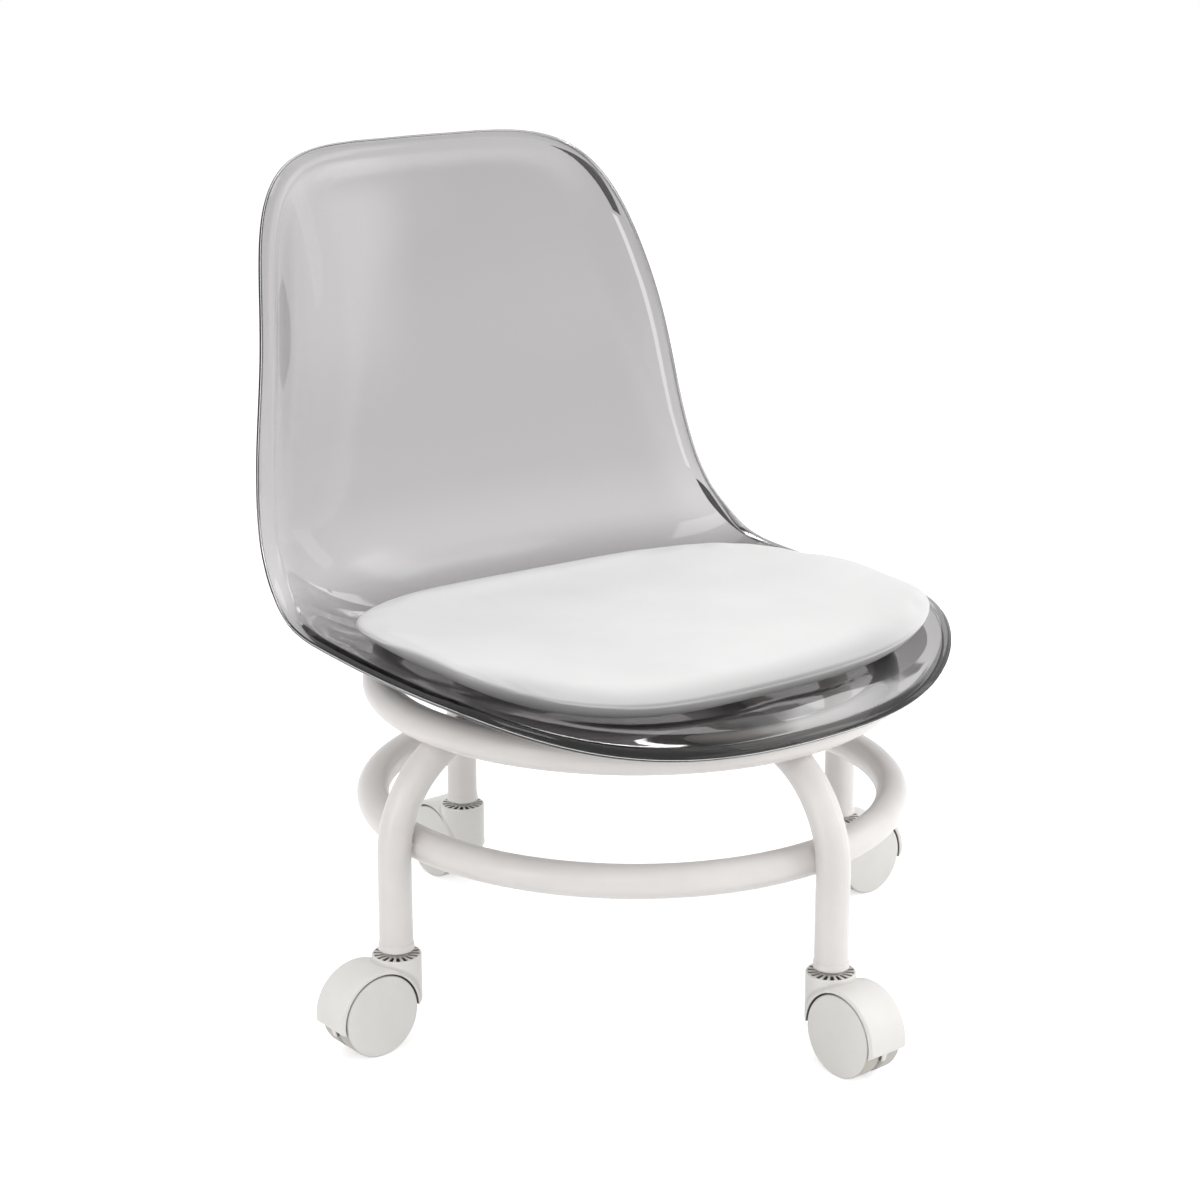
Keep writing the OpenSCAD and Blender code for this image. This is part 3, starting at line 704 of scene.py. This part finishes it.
def combine(piece, other, operation):
    """Joins other to piece, or cuts it out of piece."""
    change = piece.modifiers.new(operation, "BOOLEAN")
    change.operation, change.object, change.solver = operation, other, "EXACT"
    apply_modifiers(piece)
    bpy.data.objects.remove(other)
    return piece


def soften(piece, voxel, passes, factor=0.5):
    """Draws an even skin over a cut form and eases its edges, as a mould's radii do."""
    remesh = piece.modifiers.new("skin", "REMESH")
    remesh.mode, remesh.voxel_size = "VOXEL", voxel * MM
    ease = piece.modifiers.new("ease", "SMOOTH")
    ease.factor, ease.iterations = factor, passes
    apply_modifiers(piece)


def make_hood():
    """The caster's hood: drum and neck in one moulding with soft radii, open below, a web between
    the wheels, and rib pockets on top."""
    drum_x, drum_up, tip_z, edge_round = TRAIL + 1, 0.4, 19.4, 0.9
    edge_up, tilt = 1.5, math.atan(7.9 / 63.55)  # the lower edge, over the axle, and how it slants
    web_into_drum, web_below_axle, bore_r, pocket_deep = 1.1, 10, 4.08, 3.4
    drum = round_bar("hood", HOOD_R, HOOD_W, (drum_x, 0, AXLE_Z + drum_up), across=True, sides=128,
                     edge=edge_round)
    neck_low = AXLE_Z - NECK_R / 2
    neck = round_bar("neck", NECK_R, NECK_TOP - neck_low, (0, 0, (NECK_TOP + neck_low) / 2))
    hood = combine(drum, neck, "UNION")
    slice_off(hood, (-NECK_R, 0, AXLE_Z + edge_up), (-math.sin(tilt), 0, -math.cos(tilt)))
    for back, turn in ((3.4, 0.62), (1.6, 1.12)):
        slice_off(hood, (drum_x + HOOD_R - back, 0, tip_z), (math.sin(turn), 0, -math.cos(turn)))
    for side in (-1, 1):
        well_y = side * (WEB_T + CASTER_W) / 2
        well = round_bar("well", CAVITY_R, CASTER_W, (TRAIL, well_y, AXLE_Z), across=True, sides=128)
        hood = combine(hood, well, "DIFFERENCE")
    web = round_bar("web", CAVITY_R + web_into_drum, WEB_T, (TRAIL, 0, AXLE_Z), across=True)
    slice_off(web, (0, 0, AXLE_Z - web_below_axle), (0, 0, -1))
    hood = combine(hood, web, "UNION")
    soften(hood, voxel=0.5, passes=8)
    past, bore_deep = 1.0, 20.0  # how far the cutters stand past the neck's top, and the bore's length
    parts = [round_bar("cutter", AXLE_HOLE_R, CASTER_W, (TRAIL, 0, AXLE_Z), across=True, sides=48),
             round_bar("bore", bore_r, bore_deep, (0, 0, NECK_TOP - bore_deep / 2 + past), sides=48)]
    pockets, opening = 18, 0.60
    pitch = 2 * math.pi / pockets
    low, high, inner, outer = NECK_TOP - pocket_deep, NECK_TOP + past, 7.1, 13.6
    for k in range(pockets):
        a0, a1 = pitch * (k - opening / 2), pitch * (k + opening / 2)
        corners = ((inner, a0), (outer, a0), (outer, (a0 + a1) / 2), (outer, a1), (inner, a1))
        points = [(r * math.cos(a), r * math.sin(a), z) for z in (low, high) for r, a in corners]
        n = len(corners)
        walls = [(i, (i + 1) % n, (i + 1) % n + n, i + n) for i in range(n)]
        faces = [tuple(range(n))[::-1], tuple(range(n, 2 * n))] + walls
        parts.append(mesh_piece("pocket", points, faces, HOOD_NYLON))
    bpy.ops.object.select_all(action="DESELECT")
    for part in parts:
        part.select_set(True)
    bpy.context.view_layer.objects.active = parts[0]
    bpy.ops.object.join()
    combine(hood, parts[0], "DIFFERENCE")
    return hood


def make_wheel():
    """One wheel of a pair: its section is drawn beside the axle and spun round it, with eased
    corners and a slightly crowned disc."""
    inner, bore, hub, bore_end = WEB_T / 2 + 0.35, AXLE_HOLE_R, 6.0, 11.05
    face, rim, wall, turned = CASTER_W / 2 - 0.6, WHEEL_R - 3.0, 2.2, math.pi / 2
    inner_round, face_round, crown, crown_r = 0.9, 1.5, 0.55, 23.0
    section = [(bore, bore_end), (bore, inner + 0.2), (bore + 0.2, inner), (hub, inner), (hub, face - wall),
               (rim, face - wall), (rim, inner), (WHEEL_R - inner_round, inner)]
    section += [(WHEEL_R - inner_round * (1 - math.sin(a)), inner + inner_round * (1 - math.cos(a)))
                for a in (0.5, 1.0, turned)]
    section += [(WHEEL_R, inner + 3.2), (WHEEL_R - 0.05, inner + 6.4)]
    section += [(WHEEL_R - face_round * (1 - math.cos(a)), face - face_round * (1 - math.sin(a)))
                for a in (0, 0.3, 0.6, 0.9, 1.2, turned)]
    section += [(r, face + crown * (1 - (r / crown_r) ** 2)) for r in (22.2, 20, 17, 13, 9, 5, 2.5)]
    mesh = bpy.data.meshes.new("wheel")
    mesh.from_pydata([((TRAIL + r) * MM, y * MM, AXLE_Z * MM) for r, y in section],
                     [(i, i + 1) for i in range(len(section) - 1)], [])
    wheel = bpy.data.objects.new("wheel", mesh)
    bpy.context.scene.collection.objects.link(wheel)
    only(wheel)
    bpy.ops.object.mode_set(mode="EDIT")
    bpy.ops.mesh.select_all(action="SELECT")
    bpy.ops.mesh.spin(steps=112, angle=2 * math.pi, center=(TRAIL * MM, 0, AXLE_Z * MM), axis=(0, 1, 0))
    bpy.ops.mesh.select_all(action="SELECT")
    bpy.ops.mesh.remove_doubles(threshold=0.00002)
    bpy.ops.mesh.select_all(action="DESELECT")
    bpy.ops.mesh.select_mode(type="EDGE")
    bpy.ops.mesh.select_non_manifold()
    bpy.ops.mesh.fill_holes(sides=0)
    bpy.ops.mesh.select_all(action="SELECT")
    bpy.ops.mesh.normals_make_consistent(inside=False)
    bpy.ops.object.mode_set(mode="OBJECT")
    return wheel


def to_leg(model, name, side, material, flip=False):
    """A copy of a caster piece, with its own mesh, set on one leg."""
    smooth_under = math.radians(34)
    mesh = model.data.copy()
    if flip:
        mesh.transform(Matrix.Scale(-1, 4, (0, 1, 0)))
        mesh.flip_normals()
    mesh.transform(Matrix.Rotation(math.radians(LEG_TURNS[side]), 4, "Z") @ Matrix.Translation((LEG_REACH * MM, 0, 0)))
    mesh.name = name
    mesh.materials.clear()
    mesh.materials.append(material)
    piece = bpy.data.objects.new(name, mesh)
    bpy.context.scene.collection.objects.link(piece)
    only(piece)
    bpy.ops.object.shade_smooth_by_angle(angle=smooth_under)
    return piece


hood_model, wheel_model = make_hood(), make_wheel()
for side in SIDES:
    hood = to_leg(hood_model, "caster_hood_" + side, side, HOOD_NYLON)
    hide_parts("hood_" + side)
    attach(hood, "caster_" + side)
    for half in "ab":
        wheel = to_leg(wheel_model, "caster_wheel_%s_%s" % (half, side), side, WHEEL_NYLON, flip=(half == "a"))
        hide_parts("wheel_%s_%s" % (half, side))
        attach(wheel, "wheel_%s_%s" % (half, side))
bpy.data.objects.remove(hood_model)
bpy.data.objects.remove(wheel_model)


# ---------------------------------------------------------------- weld beads where the rings touch the legs
def weld_bead(name, side, place, outward):
    """A painted bead round the place where two tubes touch, laid in short overlapping steps."""
    bead_r, bead_thick, steps, swell = 4.9 * MM, 1.25 * MM, 13, 0.16
    bpy.ops.object.select_all(action="DESELECT")
    bpy.ops.mesh.primitive_torus_add(major_radius=bead_r, minor_radius=bead_thick, major_segments=72, minor_segments=12)
    bead = bpy.context.object
    bead.name = name
    form = bmesh.new()
    form.from_mesh(bead.data)
    for v in form.verts:
        a = math.atan2(v.co.y, v.co.x)
        middle = Vector((math.cos(a), math.sin(a), 0)) * bead_r
        v.co = middle + (v.co - middle) * (1 + swell * math.sin(steps * a))
        # the bead bows with the two tubes: down the leg's sides on one way, up the ring's on the other
        v.co.z += (v.co.x**2 - v.co.y**2) / (4 * TUBE_R * MM)
    form.to_mesh(bead.data)
    form.free()
    turn = Vector(outward).to_track_quat("Z", "Y").to_matrix().to_4x4()
    leg = Matrix.Rotation(math.radians(LEG_TURNS[side]), 4, "Z")
    bead.data.transform(leg @ Matrix.Translation([c * MM for c in place]) @ turn)
    bead.data.materials.append(ENAMEL)
    for face in bead.data.polygons:
        face.use_smooth = True
    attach(bead, "frame")


bend_x = LEG_REACH - BEND_R
lean = Vector((RING_R - bend_x, 0, RING_Z - BEND_Z)).normalized()
WELD_SUNK = 0.2
for side in SIDES:
    weld_bead("weld_low_" + side, side, (LEG_REACH - TUBE_R + WELD_SUNK, 0, LOW_RING_Z), (-1, 0, 0))
    touch = Vector((bend_x, 0, BEND_Z)) + lean * (BEND_R + TUBE_R - WELD_SUNK)
    weld_bead("weld_top_" + side, side, touch, lean)


# ---------------------------------------------------------------- finishes of the nodes that stay
def dress(names, material):
    """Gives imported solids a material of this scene."""
    for name in names:
        for place in nodes[name].material_slots:
            place.material = material


dress(["arch_tube", "side_leg_left", "side_leg_right", "top_ring", "lower_ring", "seat_plate"], ENAMEL)
dress(["stem_socket_" + side for side in SIDES], ENAMEL)
dress(["shell_screws", "screw_washers", "tee_nuts"], ZINC)
for kind in ("stem_", "grip_ring_", "axle_"):
    dress([kind + side for side in SIDES], ZINC)
dress(["rubber_washers"], RUBBER)
dress(["cushion_board"], BOARD)


# ---------------------------------------------------------------- floor, world and lamps
def make_floor():
    """A matt white floor, with a glow that lifts it to the photograph's white where it is seen."""
    glow_share = 0.58
    bpy.ops.object.select_all(action="DESELECT")
    bpy.ops.mesh.primitive_plane_add(size=16.0, location=(0, 0, 0))
    floor = bpy.context.object
    floor.name = "studio_floor"
    f = Finish("studio_floor")
    dust = f.grain(f.place(), 3.0, 3.0)
    f.set(Base_Color=f.tint(dust, (0.86, 0.86, 0.86), (0.88, 0.88, 0.88)), Roughness=0.75, Specular_IOR_Level=0.1)
    seen = f.ray("Camera").most(f.ray("Glossy")).most(f.ray("Transmission"))
    glow = f.node("ShaderNodeEmission", None, (1, 1, 1, 1), seen * glow_share)
    f.show(f.node("ShaderNodeAddShader", None, f.coat, glow))
    floor.data.materials.append(f.material)


def make_world():
    """A room that looks white and lights the object with about half of that."""
    light_share = 0.53
    world = bpy.data.worlds.new("studio")
    w = Shading(world, "ShaderNodeOutputWorld")
    seen = w.ray("Camera").most(w.ray("Glossy")).most(w.ray("Transmission"))
    soft = w.node("ShaderNodeBackground", None, (1, 0.995, 0.99, 1), light_share)
    white = w.node("ShaderNodeBackground", None, (1, 1, 1, 1), 1.0)
    w.show(w.mix(seen, soft, white))
    bpy.context.scene.world = world


def area_lamp(name, place, target, width, height, power):
    """A soft lamp that lights matt surfaces and isn't seen in gloss or through the clear wall."""
    data = bpy.data.lights.new(name, "AREA")
    data.shape, data.size, data.size_y, data.energy = "RECTANGLE", width, height, power
    lamp = bpy.data.objects.new(name, data)
    bpy.context.scene.collection.objects.link(lamp)
    aim(lamp, place, target)
    lamp.visible_glossy = lamp.visible_transmission = False


def toward(azimuth, elevation, distance, centre):
    """The point at a distance from centre, azimuth in degrees from +X."""
    a, e = math.radians(azimuth), math.radians(elevation)
    return Vector((math.cos(a) * math.cos(e), math.sin(a) * math.cos(e), math.sin(e))) * distance + Vector(centre)


def meets_only(card, gloss, through):
    """Hides a card from all rays but those of gloss, or those that pass the clear wall."""
    card.visible_camera = card.visible_diffuse = card.visible_shadow = card.visible_volume_scatter = False
    card.visible_glossy, card.visible_transmission = gloss, through


def studio_card(name, azimuth, elevation, distance, width, height, strength, edge, far_side=None, through=False,
                centre=(0, 0, 0.28), aside=0.0, rise=0.0):
    """A soft-edged card beside the set, bright or dark, that only the gloss on the object shows, or
    only the clear wall where it is through.

    edge is the soft share of its half: at the low azimuth side, the high one, below and above.
    strength may run over to far_side."""
    bpy.ops.object.select_all(action="DESELECT")
    bpy.ops.mesh.primitive_plane_add(size=1.0, location=(0, 0, 0))
    card = bpy.context.object
    card.name = name
    card.scale = (width, height, 1)
    place = toward(azimuth, elevation, distance, centre)
    turn = (place - Vector(centre)).to_track_quat("Z", "Y")
    card.location = place + turn @ Vector((aside, rise, 0))
    card.rotation_euler = turn.to_euler()
    f = Finish(name)
    spot = f.place()
    along, up = f.parts(spot, 0) * 2, f.parts(spot, 1) * 2
    low_side, high_side, below, above = edge
    inside = (along.step(-1.0, low_side - 1.0) * along.step(1.0 - high_side, 1.0, 1.0, 0.0)
              * up.step(-1.0, below - 1.0) * up.step(1.0 - above, 1.0, 1.0, 0.0))
    if far_side is not None:
        strength = along.step(-0.6, 0.8, strength, far_side)
    glow = f.node("ShaderNodeEmission", None, None, strength)
    f.show(f.mix(inside, f.node("ShaderNodeBsdfTransparent"), glow))
    card.data.materials.append(f.material)
    meets_only(card, gloss=not through, through=through)
    return card


DARK = 0.03  # the glow of a dark card

make_floor()
make_world()
area_lamp("soft_key", (-1.3, -1.3, 1.9), (0, 0, 0.25), 1.4, 1.4, 7.5)
area_lamp("soft_fill", (1.5, -1.5, 1.0), (0, 0, 0.2), 1.4, 1.2, 20.0)
area_lamp("soft_left", (-1.9, -0.3, 0.8), (0, 0, 0.15), 1.2, 1.2, 6.0)
area_lamp("soft_top", (0.2, 0.5, 2.3), (0, 0, 0.2), 1.8, 1.8, 20.0)
studio_card("card_front_right", -19, 0, 2.2, 3.9, 0.82, 1.7, (0.5, 0.03, 0.25, 0.25), far_side=1.1)
studio_card("card_front_right_high", -29, 35, 2.3, 0.95, 1.15, 2.8, (0.9, 0.9, 0.5, 0.5))
studio_card("card_rim", -15, 13, 2.2, 0.36, 0.80, 1.8, (0.35, 0.3, 0.3, 0.3))
studio_card("card_left", -172, 8, 2.0, 0.5, 1.7, 4.0, (0.4, 0.4, 0.3, 0.3))
studio_card("card_above", -125, 84, 1.8, 0.8, 0.55, 3.5, (0.2, 0.2, 0.2, 0.2))
studio_card("card_by_camera", -137, 21, 2.0, 0.62, 0.26, 7.0, (0.15, 0.15, 0.2, 0.2))
# the cards that the seat's lip shows stand near it, so that each stretch of the lip shows its own
LIP, LIP_AZIMUTH, LIP_ELEVATION = (0.020, -0.150, 0.206), 41, 31
for name, distance, aside, rise, width, height, strength, edge in (
        ("lip_dark", 0.70, 0.068, 0.03, 0.076, 0.36, DARK, (0.35, 0.2, 0.30, 0.30)),
        ("lip_grey", 0.70, -0.046, 0.02, 0.155, 0.24, 3.4, (0.30, 0.25, 0.30, 0.30)),
        ("lip_blotch", 0.66, -0.075, 0.014, 0.050, 0.022, DARK, (0.70, 0.70, 0.6, 0.6)),
        ("lip_window", 0.70, 0.120, 0.05, 0.062, 0.20, 14.0, (0.15, 0.15, 0.15, 0.15))):
    card = studio_card(name, LIP_AZIMUTH, LIP_ELEVATION, distance, width, height, strength, edge,
                       centre=LIP, aside=aside, rise=rise)
    card.visible_transmission = name == "lip_window"
studio_card("card_behind_high_dark", 52, 50, 2.3, 1.9, 0.7, DARK, (0.3, 0.3, 0.35, 0.35))
for name, azimuth, elevation, width, height in (
        ("wing_left", 88, -2, 0.95, 1.0), ("wing_right", -4, 5, 1.0, 1.6), ("wing_above", 50, 40, 3.4, 1.4)):
    studio_card(name, azimuth, elevation, 1.25, width, height, DARK, (0.2, 0.2, 0.2, 0.2), through=True)


def frame_unit(distance):
    """The size of one of the picture's units at a distance from the camera."""
    return distance * SENSOR / (FRAME_SIDE * bpy.context.scene.camera.data.lens)


def frame_place(u, v, distance):
    """The point that the picture shows at u, v in its own units, at a distance from the camera."""
    half = FRAME_SIDE / 2
    view = bpy.context.scene.camera
    return view.matrix_basis @ Vector(((u - half) * frame_unit(distance), (half - v) * frame_unit(distance), -distance))


def flag(name, frame_points, distance, strength):
    """A flat card behind the object, drawn in the picture's units, that only the clear wall shows."""
    f = Finish(name)
    uneven = f.grain(f.place(), 3.0) * 0.1 + 0.95
    f.show(f.node("ShaderNodeEmission", None, None, strength * uneven))
    points = [frame_place(u, v, distance) for u, v in frame_points]
    card = mesh_piece(name, points, [tuple(range(len(points)))], f.material, millimetres=False)
    meets_only(card, gloss=False, through=True)


def backdrop(name, u, v, wide, high, strength, edge):
    """A soft-edged card behind the object, placed in the picture's units, a little lighter or darker
    than the white around it, that only the clear wall shows."""
    eye = bpy.context.scene.camera.location
    place, unit = frame_place(u, v, BEHIND), frame_unit(BEHIND)
    look = (place - eye).normalized()
    studio_card(name, math.degrees(math.atan2(look.y, look.x)), math.degrees(math.asin(look.z)), (place - eye).length,
                wide * unit, high * unit, strength, edge, through=True, centre=eye)


# cards seen only through the clear wall: back_glow lays painted light on the back, rim_flag and neck_flag lay painted
# shade at their places, and rim_light a painted band of light along the right rim
backdrop("back_glow", 352, 315, 140, 300, 1.36, (0.95, 0.25, 0.95, 0.3))
flag("rim_flag", ((554, 129), (569, 137), (582, 147), (594, 160), (605, 175), (614, 191), (621, 206),
                  (640, 206), (640, 129)), BEHIND, 0.12)
flag("neck_flag", ((705, 474), (714, 490), (722, 503), (738, 519), (758, 533), (784, 546),
                   (800, 530), (740, 474)), BEHIND, 0.08)
rim_line = ((621, 212), (629, 230), (636, 250), (643, 270), (650, 290), (655, 310), (660, 330), (664, 350),
            (668, 370), (672, 390), (676, 410), (682, 430), (688, 450), (694, 466))
flag("rim_light", [(x - 10, y) for x, y in rim_line] + [(x + 4, y) for x, y in rim_line[::-1]], 2.0, 1.75)

bpy.context.scene.view_settings.view_transform = "Standard"
